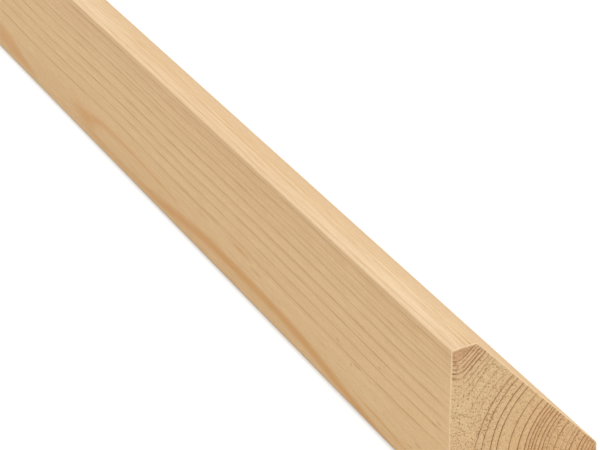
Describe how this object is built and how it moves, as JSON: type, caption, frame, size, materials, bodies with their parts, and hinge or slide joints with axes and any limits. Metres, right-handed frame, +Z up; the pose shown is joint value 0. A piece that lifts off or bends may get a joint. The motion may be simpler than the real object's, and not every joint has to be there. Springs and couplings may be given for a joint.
{
  "type": "planed timber strip",
  "caption": "Planed softwood strip with an upright back, a narrow flat top, a long bevel and a rounded nose, sawn square at both ends.",
  "frame": {"origin": "middle of the base, halfway along the strip and halfway across it", "axes": "+X along the strip, +Y across it from the upright back to the nose, +Z up"},
  "size_m": [1, 0.044, 0.045],
  "materials": {
    "softwood": "planed, unfinished"
  },
  "bodies": {
    "root": {"timber_strip": "softwood"}
  },
  "joints": []
}
